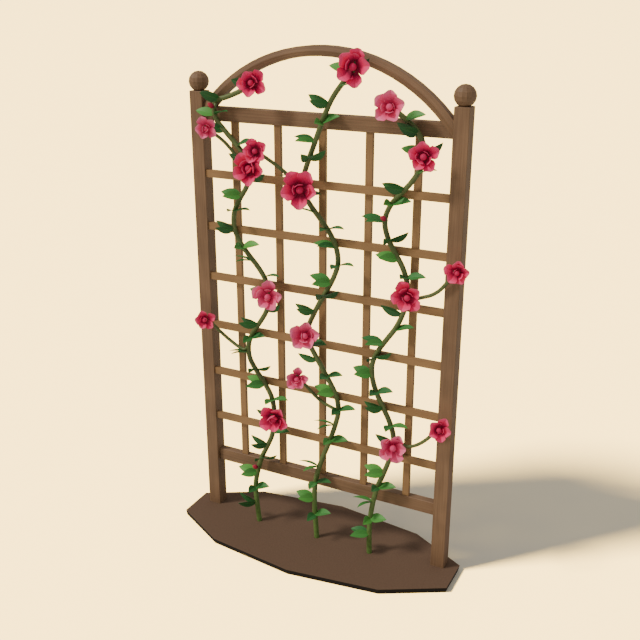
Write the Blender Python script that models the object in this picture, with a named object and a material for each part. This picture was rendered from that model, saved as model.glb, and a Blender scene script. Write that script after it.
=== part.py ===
"""Climbing rose on a timber garden trellis that stands in a thin bed of soil.

X runs along the trellis, -Y is its front, +Z is up. The origin is the middle of the
underside of the soil bed. Lengths are metres. Unless a comment says otherwise, heights
are measured from the top of the soil and depths from the middle of the posts.
"""
import math
import random

import bmesh
import bpy
from mathutils import Matrix, Vector

GAP = 0.0003

# Soil bed: a ten-sided slab, wider at its top than at its foot
SOIL_THICKNESS = 0.020
SOIL_HALF_LENGTH = 0.572
SOIL_HALF_WIDTH = 0.231
SOIL_SIDES = 10
SOIL_UNDERCUT = 0.004
TRELLIS_SETBACK = 0.053

# Timber frame
POST_SIDE = 0.050
POST_SPACING = 0.944
POST_HEIGHT = 1.618
POST_POCKET = 0.012
TIMBER_BEVEL = 0.0015
BALL_RADIUS = 0.0348
BALL_SEAT_DROP = 0.0302
RAIL_HEIGHT = 0.048
RAIL_FRONT = -0.010
RAIL_BACK = 0.020
BOTTOM_RAIL_BASE = 0.198
TOP_RAIL_BASE = 1.520
SLAT_HEIGHT = 0.026
SLAT_FRONT = -0.0195
SLAT_BACK = -0.0055
LOWEST_SLAT = 0.398
SLAT_STEP = 0.188
SLAT_COUNT = 6
UPRIGHT_WIDTH = 0.024
UPRIGHT_BACK = 0.0090
UPRIGHT_STEP = 0.167
UPRIGHT_COUNT = 5
ARCH_RADIUS = 0.571
ARCH_CENTRE_HEIGHT = 1.192
ARCH_HALF_THICKNESS = 0.0165
ARCH_RIDGE = -0.0190
ARCH_FRONT = -0.0145
ARCH_BACK = 0.0165
ARCH_STEPS = 28

# Canes: routes as (along the trellis, height) of the middle of the cane, foot first
CANE_FOOT_RADIUS = 0.0095
CANE_TIP_RADIUS = 0.0060
CANE_SIDES = 6
CANE_STEP = 0.055
CANE_HOLE_DEPTH = 0.014
HOLE_SIDES = 10
CANE_FOOT_DEPTH = -0.055
CANE_LEAN_HEIGHT = 0.36
LEFT_CANE = [(-0.246, 0.0), (-0.262, 0.115), (-0.261, 0.185), (-0.236, 0.284), (-0.200, 0.358),
             (-0.185, 0.450), (-0.192, 0.525), (-0.232, 0.596), (-0.272, 0.647), (-0.288, 0.698),
             (-0.278, 0.755), (-0.242, 0.811), (-0.208, 0.868), (-0.199, 0.930), (-0.216, 0.998),
             (-0.276, 1.068), (-0.316, 1.120), (-0.333, 1.172), (-0.325, 1.226), (-0.288, 1.291),
             (-0.262, 1.336), (-0.262, 1.385), (-0.300, 1.437), (-0.362, 1.500), (-0.396, 1.545),
             (-0.392, 1.585), (-0.350, 1.603), (-0.300, 1.622), (-0.240, 1.655)]
MIDDLE_CANE = [(0.004, 0.0), (-0.010, 0.154), (-0.008, 0.238), (0.012, 0.318), (0.040, 0.394),
               (0.067, 0.478), (0.079, 0.542), (0.067, 0.600), (0.026, 0.670), (-0.018, 0.742),
               (-0.045, 0.805), (-0.027, 0.868), (0.009, 0.943), (0.045, 1.006), (0.070, 1.068),
               (0.071, 1.115), (0.052, 1.168), (0.013, 1.220), (-0.032, 1.273), (-0.062, 1.325),
               (-0.042, 1.405), (-0.010, 1.488), (0.016, 1.555), (0.044, 1.615), (0.080, 1.665),
               (0.120, 1.712)]
RIGHT_CANE = [(0.221, 0.0), (0.217, 0.094), (0.221, 0.177), (0.236, 0.262), (0.263, 0.342),
              (0.292, 0.440), (0.285, 0.512), (0.250, 0.587), (0.219, 0.650), (0.204, 0.712),
              (0.213, 0.770), (0.252, 0.836), (0.297, 0.908), (0.324, 1.000), (0.314, 1.078),
              (0.279, 1.142), (0.251, 1.190), (0.238, 1.237), (0.244, 1.278), (0.271, 1.322),
              (0.322, 1.378), (0.362, 1.460), (0.344, 1.528), (0.296, 1.574), (0.250, 1.604)]

# Leaf pairs stand at even joints along each cane. A cane has one word for the pairs to its
# left and one for those to its right, with a letter for each joint from the foot up:
# b turns the upper faces well to the front, m half, t leaves them level and d turns them
# down. A capital is a single leaflet, where a bloom stands in front of the joint.
LEAF_PACE = 0.0655
LEAVES = {"left": ("d.b.d.D.b.t.d.B.t.d.b.D.DBd.D", ".m.d.M.t.d.m.D.T.b.t.D.M.T"),
          "middle": (".b.t..t.b.D..d.b.m.T.t.m.d.B", "m.t..m.m.m.M..d.t.t.M.d.b.TD"),
          "right": ("m.t.b.D.d.b.m.D..b.m.d.Bd.D", ".b.m.D.t.m.d.M..m.d.b.TD.B")}
FIRST_JOINT = {"left": 0.0786, "middle": 0.0983, "right": 0.0786}
LEAF_LENGTH = 0.074
LEAF_WIDTH = 0.036
LEAF_THICKNESS = 0.0009
LEAF_ROOT_SHIFT = 0.003
LEAF_REAR = -0.0217
# The two leaflets of a pair to the left and to the right: (way they point, rise, share of
# the length), in degrees, with 0 to the right along the trellis and -90 to the front
PAIR_TO_LEFT = ((-165, 15, 1.0), (-126, 11, 0.96))
PAIR_TO_RIGHT = ((-14, 22, 1.0), (-82, 15, 0.90))
LEFT_ROLL = {"b": 52, "m": 24, "t": -18, "d": 112}
RIGHT_ROLL = {"b": 42, "m": 24, "t": 4, "d": 146}
OPEN_SIDE = Vector((0.4, -0.9, 0.0))

# Blooms: (cane, along, height, radius, kind), the middle of the bloom's face
BLOOM_FACE_DEPTH = -0.082
BLOOM_TURN = 20
BLOOM_LIFT = 8
HEART_SIDES = 5
OUTER_COUNT = 5
INNER_COUNT = 4
PETAL_THICKNESS = 0.0012
PETAL_TWIST = 0.22
# Petals as rows of (distance out, height, half width, cup, crown), as shares of the radius.
# The cup lifts a row's ends and the crown carries its middle further out.
OUTER_PETAL = [(0.10, 0.30, 0.0, 0.0, 0.0), (0.54, 0.40, 0.39, 0.07, 0.02),
               (0.88, 0.62, 0.45, 0.04, 0.12)]
INNER_PETAL = [(0.08, 0.44, 0.0, 0.0, 0.0), (0.32, 0.58, 0.28, 0.08, 0.02),
               (0.42, 0.88, 0.26, 0.05, 0.05)]
STALK_RADIUS = 0.0046
STALK_SIDES = 5
BLOOMS = [("left", -0.217, 1.661, 0.042, "deep"), ("middle", 0.142, 1.724, 0.051, "deep"),
          ("right", 0.265, 1.613, 0.046, "light"), ("left", -0.398, 1.503, 0.033, "light"),
          ("middle", -0.187, 1.452, 0.033, "deep"), ("left", -0.236, 1.385, 0.048, "deep"),
          ("middle", -0.043, 1.331, 0.054, "deep"), ("right", 0.379, 1.473, 0.045, "deep"),
          ("right", 0.503, 1.126, 0.036, "red"), ("left", -0.172, 0.942, 0.047, "light"),
          ("right", 0.342, 1.019, 0.046, "red"), ("left", -0.440, 0.811, 0.033, "red"),
          ("middle", -0.028, 0.822, 0.048, "light"), ("middle", -0.061, 0.652, 0.033, "light"),
          ("left", -0.158, 0.472, 0.050, "deep"), ("right", 0.472, 0.576, 0.037, "red"),
          ("right", 0.311, 0.469, 0.048, "light")]
# Side shoots that carry a bloom away from its cane: bloom number and points between
SHOOTS = {4: [(-0.300, 1.405), (-0.350, 1.452)],
          5: [(-0.060, 1.318), (-0.120, 1.372)],
          9: [(0.372, 1.010), (0.430, 1.040)],
          12: [(-0.302, 0.704), (-0.370, 0.735)],
          14: [(0.055, 0.548), (0.000, 0.572)],
          16: [(0.345, 0.462), (0.405, 0.496)]}
BUD_LENGTH = 0.026
BUD_RADIUS = 0.0085
BUD_SIDES = 8
BUD_PROFILE = [(0.54, 0.0), (0.85, 0.18), (1.0, 0.42), (0.72, 0.70), (0.24, 0.95)]
BUD_AXIS = Vector((-0.35, -0.75, 0.56)).normalized()
BUD_STAND_OFF = 0.022
BUDS = [("left", -0.385, 1.572), ("right", 0.248, 1.257), ("left", -0.247, 0.236)]

TIMBER_BROWN = (0.202, 0.112, 0.062)
SLAT_BROWN = (0.342, 0.195, 0.089)
SOIL_BROWN = (0.127, 0.080, 0.050)
LEAF_GREEN = (0.115, 0.280, 0.075)
BUD_ROSE = (0.380, 0.035, 0.070)
PETAL_COLOURS = {"deep": (0.680, 0.050, 0.110), "light": (1.000, 0.190, 0.290),
                 "red": (0.780, 0.085, 0.130)}


def remove_everything():
    for item in list(bpy.data.objects):
        bpy.data.objects.remove(item)


def finish_material(name, colour, roughness):
    material = bpy.data.materials.new(name)
    material.use_nodes = True
    shader = material.node_tree.nodes["Principled BSDF"]
    shader.inputs["Base Color"].default_value = (*colour, 1.0)
    shader.inputs["Roughness"].default_value = roughness
    shader.inputs["Metallic"].default_value = 0.0
    return material


def place(along, depth, height):
    """A point given from the posts' middle and the soil's top, in the part's frame."""
    return Vector((along, depth + TRELLIS_SETBACK, height + SOIL_THICKNESS))


def object_from(name, shape, material):
    bmesh.ops.recalc_face_normals(shape, faces=shape.faces)
    mesh = bpy.data.meshes.new(name)
    shape.to_mesh(mesh)
    shape.free()
    item = bpy.data.objects.new(name, mesh)
    bpy.context.scene.collection.objects.link(item)
    if material:
        mesh.materials.append(material)
    return item


def box(name, material, along, depth, height, bevel=0.0):
    """A box between two places along, in depth and in height, with its edges eased."""
    low = place(along[0], depth[0], height[0])
    high = place(along[1], depth[1], height[1])
    size = high - low
    shape = bmesh.new()
    bmesh.ops.create_cube(shape, size=1.0, matrix=Matrix.Diagonal((*size, 1.0)))
    item = object_from(name, shape, material)
    item.location = (low + high) / 2
    if bevel:
        easing = item.modifiers.new("Eased edges", "BEVEL")
        easing.width = bevel
        easing.segments = 1
    return item


def boolean(item, cutter, operation="DIFFERENCE"):
    cut = item.modifiers.new("Cut", "BOOLEAN")
    cut.operation = operation
    cut.solver = "EXACT"
    cut.object = cutter
    apply_modifiers(item)
    bpy.data.objects.remove(cutter)


def apply_modifiers(item):
    bpy.context.view_layer.update()
    bpy.context.view_layer.objects.active = item
    for modifier in list(item.modifiers):
        bpy.ops.object.modifier_apply(modifier=modifier.name)


def loose_shells(shape):
    """The connected groups of faces in a mesh."""
    waiting = set(shape.faces)
    shells = []
    while waiting:
        shell = [waiting.pop()]
        for face in shell:
            for edge in face.edges:
                near = [other for other in edge.link_faces if other in waiting]
                waiting.difference_update(near)
                shell.extend(near)
        shells.append(shell)
    return shells


def fuse(item, parts):
    """Joins overlapping closed parts to item as one body and drops sealed bubbles."""
    group = bpy.data.collections.new(item.name + " parts")
    bpy.context.scene.collection.children.link(group)
    for part in parts:
        group.objects.link(part)
        bpy.context.scene.collection.objects.unlink(part)
    union = item.modifiers.new("Union", "BOOLEAN")
    union.operation = "UNION"
    union.operand_type = "COLLECTION"
    union.collection = group
    union.solver = "MANIFOLD"
    apply_modifiers(item)
    for part in parts:
        bpy.data.objects.remove(part)
    bpy.data.collections.remove(group)
    shape = bmesh.new()
    shape.from_mesh(item.data)
    shells = sorted(loose_shells(shape), key=len)
    for shell in shells[:-1]:
        bmesh.ops.delete(shape, geom=shell, context="FACES")
    bmesh.ops.triangulate(shape, faces=shape.faces)
    shape.to_mesh(item.data)
    shape.free()


def soil_outline(inset):
    corners = []
    for number in range(SOIL_SIDES):
        turn = math.tau * (number + 0.5) / SOIL_SIDES
        corners.append(((SOIL_HALF_LENGTH - inset) * math.cos(turn),
                        (SOIL_HALF_WIDTH - inset) * math.sin(turn)))
    return corners


def build_soil(material, canes):
    shape = bmesh.new()
    rings = []
    for height, inset in ((0.0, SOIL_UNDERCUT), (SOIL_THICKNESS, 0.0)):
        rings.append([shape.verts.new((x, y, height)) for x, y in soil_outline(inset)])
    shape.faces.new(rings[0])
    shape.faces.new(rings[1])
    bmesh.ops.bridge_loops(shape, edges=[edge for edge in shape.edges])
    soil = object_from("soil_bed", shape, material)
    half = POST_SIDE / 2 + GAP
    for side in (-1, 1):
        middle = side * POST_SPACING / 2
        pocket = box("pocket", None, (middle - half, middle + half), (-half, half),
                     (-POST_POCKET - GAP, 0.010))
        boolean(soil, pocket)
    for cane in canes:
        hole = bmesh.new()
        radius = (CANE_FOOT_RADIUS + GAP) / math.cos(math.pi / HOLE_SIDES)
        foot = place(cane[0][0], CANE_FOOT_DEPTH, 0.0)
        bmesh.ops.create_cone(hole, cap_ends=True, segments=HOLE_SIDES, radius1=radius, radius2=radius,
                              depth=CANE_HOLE_DEPTH * 2, matrix=Matrix.Translation(foot))
        boolean(soil, object_from("hole", hole, None))
    return soil


def build_posts(material):
    half = POST_SIDE / 2
    for side, name in ((-1, "post_left"), (1, "post_right")):
        middle = side * POST_SPACING / 2
        box(name, material, (middle - half, middle + half), (-half, half),
            (-POST_POCKET, POST_HEIGHT), TIMBER_BEVEL)


def build_finials(material):
    """Turned balls with a small flat seat on the post tops."""
    for side, name in ((-1, "finial_left"), (1, "finial_right")):
        shape = bmesh.new()
        bmesh.ops.create_uvsphere(shape, u_segments=14, v_segments=8, radius=BALL_RADIUS)
        geometry = shape.verts[:] + shape.edges[:] + shape.faces[:]
        cut = bmesh.ops.bisect_plane(shape, geom=geometry, plane_co=(0, 0, -BALL_SEAT_DROP),
                                     plane_no=(0, 0, -1), clear_outer=True)
        rim = [item for item in cut["geom_cut"] if isinstance(item, bmesh.types.BMEdge)]
        bmesh.ops.contextual_create(shape, geom=rim)
        ball = object_from(name, shape, material)
        ball.location = place(side * POST_SPACING / 2, 0.0, POST_HEIGHT + GAP + BALL_SEAT_DROP)


def build_rails(material):
    end = POST_SPACING / 2 - POST_SIDE / 2 - GAP
    for name, base in (("bottom_rail", BOTTOM_RAIL_BASE), ("top_rail", TOP_RAIL_BASE)):
        box(name, material, (-end, end), (RAIL_FRONT, RAIL_BACK), (base, base + RAIL_HEIGHT),
            TIMBER_BEVEL)


def build_slats(material):
    """Level slats between the posts, with the upright slats close behind them."""
    end = POST_SPACING / 2 - POST_SIDE / 2 - GAP
    for number in range(SLAT_COUNT):
        middle = LOWEST_SLAT + number * SLAT_STEP
        box(f"slat_level_{number + 1}", material, (-end, end), (SLAT_FRONT, SLAT_BACK),
            (middle - SLAT_HEIGHT / 2, middle + SLAT_HEIGHT / 2))
    low = BOTTOM_RAIL_BASE + RAIL_HEIGHT + GAP
    high = TOP_RAIL_BASE - GAP
    for number in range(UPRIGHT_COUNT):
        middle = (number - (UPRIGHT_COUNT - 1) / 2) * UPRIGHT_STEP
        box(f"slat_upright_{number + 1}", material,
            (middle - UPRIGHT_WIDTH / 2, middle + UPRIGHT_WIDTH / 2),
            (SLAT_BACK + GAP, UPRIGHT_BACK), (low, high))


def build_arch(material):
    """A bent bar with a low ridge along its front, lapped over the top rail's ends."""
    section = [(ARCH_HALF_THICKNESS, ARCH_BACK), (ARCH_HALF_THICKNESS, ARCH_FRONT),
               (0.0, ARCH_RIDGE), (-ARCH_HALF_THICKNESS, ARCH_FRONT),
               (-ARCH_HALF_THICKNESS, ARCH_BACK)]
    end = POST_SPACING / 2 - POST_SIDE / 2 - GAP
    reach = math.asin((end + POST_SIDE) / ARCH_RADIUS)
    shape = bmesh.new()
    rings = []
    for step in range(ARCH_STEPS + 1):
        turn = reach * (2 * step / ARCH_STEPS - 1)
        ring = []
        for outward, depth in section:
            radius = ARCH_RADIUS + outward
            point = place(radius * math.sin(turn), depth,
                          ARCH_CENTRE_HEIGHT + radius * math.cos(turn))
            ring.append(shape.verts.new(point))
        rings.append(ring)
    for first, second in zip(rings, rings[1:]):
        for number in range(len(section)):
            after = (number + 1) % len(section)
            shape.faces.new((first[number], first[after], second[after], second[number]))
    shape.faces.new(rings[0])
    shape.faces.new(rings[-1])
    for side in (-1, 1):
        geometry = shape.verts[:] + shape.edges[:] + shape.faces[:]
        cut = bmesh.ops.bisect_plane(shape, geom=geometry, plane_co=(side * end, 0, 0),
                                     plane_no=(side, 0, 0), clear_outer=True)
        rim = [item for item in cut["geom_cut"] if isinstance(item, bmesh.types.BMEdge)]
        bmesh.ops.contextual_create(shape, geom=rim)
    arch = object_from("arch", shape, material)
    lap = box("lap", None, (-POST_SPACING / 2, POST_SPACING / 2),
              (RAIL_FRONT - GAP, RAIL_BACK + GAP),
              (TOP_RAIL_BASE - GAP, TOP_RAIL_BASE + RAIL_HEIGHT + GAP))
    boolean(arch, lap)


def smooth_route(points, step):
    """Evenly spaced points on a Catmull-Rom curve through hand-placed points."""
    fine = []
    padded = [2 * points[0] - points[1]] + points + [2 * points[-1] - points[-2]]
    for index in range(1, len(padded) - 2):
        before, start, end, after = padded[index - 1:index + 3]
        for part in range(8):
            t = part / 8
            fine.append(0.5 * (2 * start + (end - before) * t
                               + (2 * before - 5 * start + 4 * end - after) * t * t
                               + (3 * start - before - 3 * end + after) * t ** 3))
    fine.append(points[-1])
    length = sum((b - a).length for a, b in zip(fine, fine[1:]))
    count = max(2, round(length / step))
    spaced = [fine[0]]
    walked = 0.0
    for a, b in zip(fine, fine[1:]):
        stretch = (b - a).length
        while len(spaced) < count and walked + stretch >= len(spaced) * length / count:
            spaced.append(a.lerp(b, (len(spaced) * length / count - walked) / stretch))
        walked += stretch
    spaced.append(fine[-1])
    return spaced


def tube(name, route, radii, sides):
    """A closed round tube along a route, with a flat face at each end."""
    shape = bmesh.new()
    rings = []
    side = Vector((1, 0, 0))
    for index, point in enumerate(route):
        before = route[max(index - 1, 0)]
        after = route[min(index + 1, len(route) - 1)]
        heading = (after - before).normalized()
        side = (side - heading * side.dot(heading)).normalized()
        other = heading.cross(side)
        ring = []
        for number in range(sides):
            turn = math.tau * (number + 0.5) / sides
            offset = side * math.cos(turn) + other * math.sin(turn)
            ring.append(shape.verts.new(point + offset * radii[index]))
        rings.append(ring)
    for first, second in zip(rings, rings[1:]):
        for number in range(sides):
            after = (number + 1) % sides
            shape.faces.new((first[number], first[after], second[after], second[number]))
    shape.faces.new(rings[0])
    shape.faces.new(rings[-1])
    return object_from(name, shape, None)


def blade(name, rows, ups, thickness):
    """A thin closed blade from rows of one or three points, split alike on both faces."""
    shape = bmesh.new()
    upper = []
    lower = []
    for row, up in zip(rows, ups):
        upper.append([shape.verts.new(point + up * thickness / 2) for point in row])
        lower.append([shape.verts.new(point - up * thickness / 2) for point in row])
    for layer in (upper, lower):
        for first, second in zip(layer, layer[1:]):
            if len(first) == 1:
                triangles = [(first[0], second[0], second[1]), (first[0], second[1], second[2])]
            elif len(second) == 1:
                triangles = [(first[0], first[1], second[0]), (first[1], first[2], second[0])]
            else:
                triangles = [(first[0], first[1], second[0]), (first[1], second[1], second[0]),
                             (first[1], first[2], second[2]), (first[1], second[2], second[1])]
            for triangle in triangles:
                shape.faces.new(triangle)
    loops = []
    for layer in (upper, lower):
        left = [row[0] for row in layer]
        right = [row[-1] for row in layer if len(row) > 1]
        tip = [layer[-1][1]] if len(layer[-1]) == 3 else []
        loops.append(left + tip + right[::-1])
    count = len(loops[0])
    for number in range(count):
        after = (number + 1) % count
        shape.faces.new((loops[0][number], loops[0][after], loops[1][after]))
        shape.faces.new((loops[0][number], loops[1][after], loops[1][number]))
    return object_from(name, shape, None)


def leaflet(root, heading, up, length, width):
    """A pointed oval leaflet, folded at its rib and drooping a little to its tip."""
    across = heading.cross(up).normalized()
    up = across.cross(heading).normalized()
    rows = [[root]]
    for along, half_width, droop in ((0.33, 0.92, 0.00), (0.68, 0.80, 0.04)):
        middle = root + heading * length * along - up * length * droop
        edge = across * width * half_width / 2
        lift = up * width * half_width * 0.14
        rows.append([middle - edge + lift, middle, middle + edge + lift])
    rows.append([root + heading * length - up * length * 0.13])
    return blade("leaflet", rows, [up] * len(rows), LEAF_THICKNESS)


def cane_radius(height):
    share = min(max(height / POST_HEIGHT, 0.0), 1.0)
    return CANE_FOOT_RADIUS + (CANE_TIP_RADIUS - CANE_FOOT_RADIUS) * share


def cane_depth(height):
    """The cane leaves the soil in front of the lattice and leans back against it."""
    rest = SLAT_FRONT - GAP - cane_radius(height) / math.cos(math.pi / CANE_SIDES)
    share = min(max(height / CANE_LEAN_HEIGHT, 0.0), 1.0)
    ease = share * share * (3 - 2 * share)
    return CANE_FOOT_DEPTH + (rest - CANE_FOOT_DEPTH) * ease


def cane_route(points):
    """The middle line of a cane, from inside its hole in the soil to its tip."""
    route = [place(x, cane_depth(z), z) for x, z in points]
    foot = place(points[0][0], CANE_FOOT_DEPTH, -CANE_HOLE_DEPTH + GAP * 2)
    return [foot] + smooth_route(route, CANE_STEP)


def leaf_pairs(route, cane, chance):
    """Pairs of leaflets, or single ones, at the joints of a cane."""
    tenths = smooth_route(route[1:], LEAF_PACE / 10)
    joints = tenths[round(FIRST_JOINT[cane] / LEAF_PACE * 10)::10]
    blades = []
    for word, pair, rolls in zip(LEAVES[cane], (PAIR_TO_LEFT, PAIR_TO_RIGHT),
                                 (LEFT_ROLL, RIGHT_ROLL)):
        for letter, here in zip(word, joints):
            if letter == ".":
                continue
            joint = here + Vector((0, -LEAF_ROOT_SHIFT, 0))
            for way, rise, share in pair[:1] if letter.isupper() else pair:
                way = math.radians(way + chance.uniform(-5, 5))
                rise = math.radians(rise + chance.uniform(-6, 6))
                roll = math.radians(rolls[letter.lower()] + chance.uniform(-5, 5))
                level = Vector((math.cos(way), math.sin(way), 0))
                heading = level * math.cos(rise) + Vector((0, 0, math.sin(rise)))
                up = Vector((0, 0, math.cos(rise))) - level * math.sin(rise)
                front = heading.cross(up)
                if front.dot(OPEN_SIDE) < 0:
                    front = -front
                upper = up * math.cos(roll) + front * math.sin(roll)
                length = LEAF_LENGTH * share * chance.uniform(0.93, 1.07)
                blades.append(leaflet(joint, heading, upper, length, LEAF_WIDTH * share))
                keep_off_lattice(blades[-1])
    return blades


def keep_off_lattice(blade):
    """Brings a leaflet forward until its rearmost corner clears the lattice."""
    rear = max(vertex.co.y for vertex in blade.data.vertices)
    limit = place(0, LEAF_REAR, 0).y
    if rear > limit:
        blade.data.transform(Matrix.Translation((0, limit - rear, 0)))


def bloom_axis(chance):
    turn = math.radians(BLOOM_TURN + chance.uniform(-7, 7))
    lift = math.radians(BLOOM_LIFT + chance.uniform(-6, 8))
    return Vector((math.sin(turn) * math.cos(lift), -math.cos(turn) * math.cos(lift),
                   math.sin(lift)))


def seat_of(face_middle, axis, radius):
    """Where a bloom's foot meets its stalk."""
    return face_middle - axis * radius * 0.62


def stalk(route, target, axis, between):
    """A thin shoot from the nearest point of a cane to a bloom's or a bud's foot."""
    start = min(route[1:], key=lambda point: (point - (between[0] if between else target)).length)
    points = [start] + between + [target - axis * 0.014, target]
    line = smooth_route(points, 0.020 if not between else 0.032)
    line[-1] = target
    line[-2] = target - axis * 0.006
    return tube("stalk", line, [STALK_RADIUS] * len(line), STALK_SIDES)


def build_petal(turn, rows):
    """One petal: rows of (out, height, half width, cup, crown) round the bloom's axis."""
    outward = Vector((math.cos(turn), math.sin(turn), 0))
    across = Vector((-math.sin(turn), math.cos(turn), 0))
    points = []
    for out, height, half_width, cup, crown in rows:
        middle = outward * out + Vector((0, 0, height))
        if half_width == 0:
            points.append([middle])
            continue
        tilt = Vector((0, 0, half_width * PETAL_TWIST))
        lift = Vector((0, 0, cup))
        points.append([middle - across * half_width + lift - tilt, middle + outward * crown,
                       middle + across * half_width + lift + tilt])
    ups = []
    for index in range(len(rows)):
        before = points[max(index - 1, 0)]
        after = points[min(index + 1, len(points) - 1)]
        along = after[len(after) // 2] - before[len(before) // 2]
        ups.append(along.cross(across).normalized())
    return blade("petal", points, ups, PETAL_THICKNESS)


def build_bloom(name, seat, axis, radius, material, spin):
    """A rose in bloom: a tapered heart with two rings of petals rooted in it."""
    profile = [(STALK_RADIUS, 0.0), (0.26 * radius, 0.26 * radius), (0.24 * radius, 0.58 * radius),
               (0.13 * radius, 0.88 * radius)]
    shape = bmesh.new()
    rings = []
    for out, height in profile:
        rings.append([shape.verts.new((out * math.cos(math.tau * number / HEART_SIDES),
                                       out * math.sin(math.tau * number / HEART_SIDES), height))
                      for number in range(HEART_SIDES)])
    for first, second in zip(rings, rings[1:]):
        for number in range(HEART_SIDES):
            after = (number + 1) % HEART_SIDES
            shape.faces.new((first[number], first[after], second[after], second[number]))
    shape.faces.new(rings[0])
    shape.faces.new(rings[-1])
    heart = object_from(name, shape, material)
    petals = []
    for count, shift, rows in ((OUTER_COUNT, 0.0, OUTER_PETAL), (INNER_COUNT, 0.5, INNER_PETAL)):
        rows = [tuple(value * radius for value in row) for row in rows]
        for number in range(count):
            turn = math.tau * (number + shift) / count
            petals.append(build_petal(turn, rows))
    fuse(heart, petals)
    turn_to_axis = (axis.to_track_quat("Z", "Y").to_matrix().to_4x4()
                    @ Matrix.Rotation(spin, 4, "Z"))
    heart.data.transform(Matrix.Translation(seat + axis * GAP) @ turn_to_axis)
    return heart


def build_bud(name, seat, material):
    """A closed pointed bud on a flat foot."""
    shape = bmesh.new()
    rings = []
    for out, height in BUD_PROFILE:
        rings.append([shape.verts.new((out * BUD_RADIUS * math.cos(math.tau * number / BUD_SIDES),
                                       out * BUD_RADIUS * math.sin(math.tau * number / BUD_SIDES),
                                       height * BUD_LENGTH)) for number in range(BUD_SIDES)])
    for first, second in zip(rings, rings[1:]):
        for number in range(BUD_SIDES):
            after = (number + 1) % BUD_SIDES
            shape.faces.new((first[number], first[after], second[after], second[number]))
    shape.faces.new(rings[0])
    shape.faces.new(rings[-1])
    bud = object_from(name, shape, material)
    turn_to_axis = BUD_AXIS.to_track_quat("Z", "Y").to_matrix().to_4x4()
    bud.data.transform(Matrix.Translation(seat + BUD_AXIS * GAP) @ turn_to_axis)
    bud.data.shade_smooth()
    return bud


def build_roses(leaf_material, petal_materials, bud_material):
    chance = random.Random(11)
    routes = {"left": cane_route(LEFT_CANE), "middle": cane_route(MIDDLE_CANE),
              "right": cane_route(RIGHT_CANE)}
    parts = {side: [] for side in routes}
    for number, (side, x, z, radius, kind) in enumerate(BLOOMS, start=1):
        axis = bloom_axis(chance)
        seat = seat_of(place(x, BLOOM_FACE_DEPTH, z), axis, radius)
        between = [place(a, cane_depth(b) - 0.008, b) for a, b in SHOOTS.get(number, [])]
        parts[side].append(stalk(routes[side], seat, axis, between))
        build_bloom(f"bloom_{number:02d}", seat, axis, radius, petal_materials[kind],
                    chance.uniform(0, math.tau))
    for number, (side, x, z) in enumerate(BUDS, start=1):
        seat = place(x, cane_depth(z) - BUD_STAND_OFF, z)
        parts[side].append(stalk(routes[side], seat, BUD_AXIS, []))
        build_bud(f"bud_{number}", seat, bud_material)
    for side, route in routes.items():
        heights = [point.z - SOIL_THICKNESS for point in route]
        cane = tube(f"cane_{side}", route, [cane_radius(height) for height in heights],
                    CANE_SIDES)
        cane.data.materials.append(leaf_material)
        parts[side] += leaf_pairs(route, side, chance)
        fuse(cane, parts[side])


def main():
    remove_everything()
    timber = finish_material("stained timber", TIMBER_BROWN, 0.55)
    slat_timber = finish_material("pale slat timber", SLAT_BROWN, 0.6)
    soil = finish_material("soil", SOIL_BROWN, 0.9)
    leaf = finish_material("leaf green", LEAF_GREEN, 0.5)
    bud = finish_material("bud rose", BUD_ROSE, 0.5)
    petals = {kind: finish_material(kind + " petal", colour, 0.5)
              for kind, colour in PETAL_COLOURS.items()}
    build_soil(soil, (LEFT_CANE, MIDDLE_CANE, RIGHT_CANE))
    build_posts(timber)
    build_finials(timber)
    build_arch(timber)
    build_rails(timber)
    build_slats(slat_timber)
    build_roses(leaf, petals, bud)


main()
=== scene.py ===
"""Show scene for a climbing rose on a timber garden trellis.

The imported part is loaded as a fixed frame. Its timber and soil keep their own shapes and get
a finish. The canes, blooms and buds get finer pieces that follow the same routes and the same
seeded draws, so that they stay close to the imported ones. X runs along the trellis, -Y is its
front and +Z is up. Lengths are metres and angles are degrees. Unless a comment says otherwise,
heights are measured from the top of the soil and depths from the middle of the posts.
"""

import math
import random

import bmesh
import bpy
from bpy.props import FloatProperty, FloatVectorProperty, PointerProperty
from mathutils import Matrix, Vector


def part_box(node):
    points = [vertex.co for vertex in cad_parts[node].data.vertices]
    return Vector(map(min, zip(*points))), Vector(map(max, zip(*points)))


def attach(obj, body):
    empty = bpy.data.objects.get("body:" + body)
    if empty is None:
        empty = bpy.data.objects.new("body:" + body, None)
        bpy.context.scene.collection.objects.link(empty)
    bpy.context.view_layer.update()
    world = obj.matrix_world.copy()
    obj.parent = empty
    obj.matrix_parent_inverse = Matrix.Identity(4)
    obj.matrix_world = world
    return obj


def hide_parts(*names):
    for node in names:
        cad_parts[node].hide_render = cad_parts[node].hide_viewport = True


bl_info = {
    "name": "Climbing Rose on a Trellis",
    "version": (1, 0, 0),
    "blender": (4, 5, 0),
    "location": "3D View > Sidebar > Rose",
    "description": "Finishes a timber trellis and grows the climbing rose on it",
    "category": "Object",
}

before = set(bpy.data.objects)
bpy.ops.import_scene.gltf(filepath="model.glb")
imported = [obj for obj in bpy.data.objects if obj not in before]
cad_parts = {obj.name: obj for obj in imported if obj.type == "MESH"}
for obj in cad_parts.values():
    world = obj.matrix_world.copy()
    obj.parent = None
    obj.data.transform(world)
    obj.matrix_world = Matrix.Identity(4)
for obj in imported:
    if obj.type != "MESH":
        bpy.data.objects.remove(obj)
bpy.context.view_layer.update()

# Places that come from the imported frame
SOIL_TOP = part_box("soil_bed")[1].z
POST_LOW, POST_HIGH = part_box("post_left")
POST_MIDDLE = (POST_LOW.y + POST_HIGH.y) / 2
POST_HEIGHT = POST_HIGH.z - SOIL_TOP
SLAT_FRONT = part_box("slat_level_1")[0].y - POST_MIDDLE
ARCH_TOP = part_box("arch")[1].z
GAP = 0.0003

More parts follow.
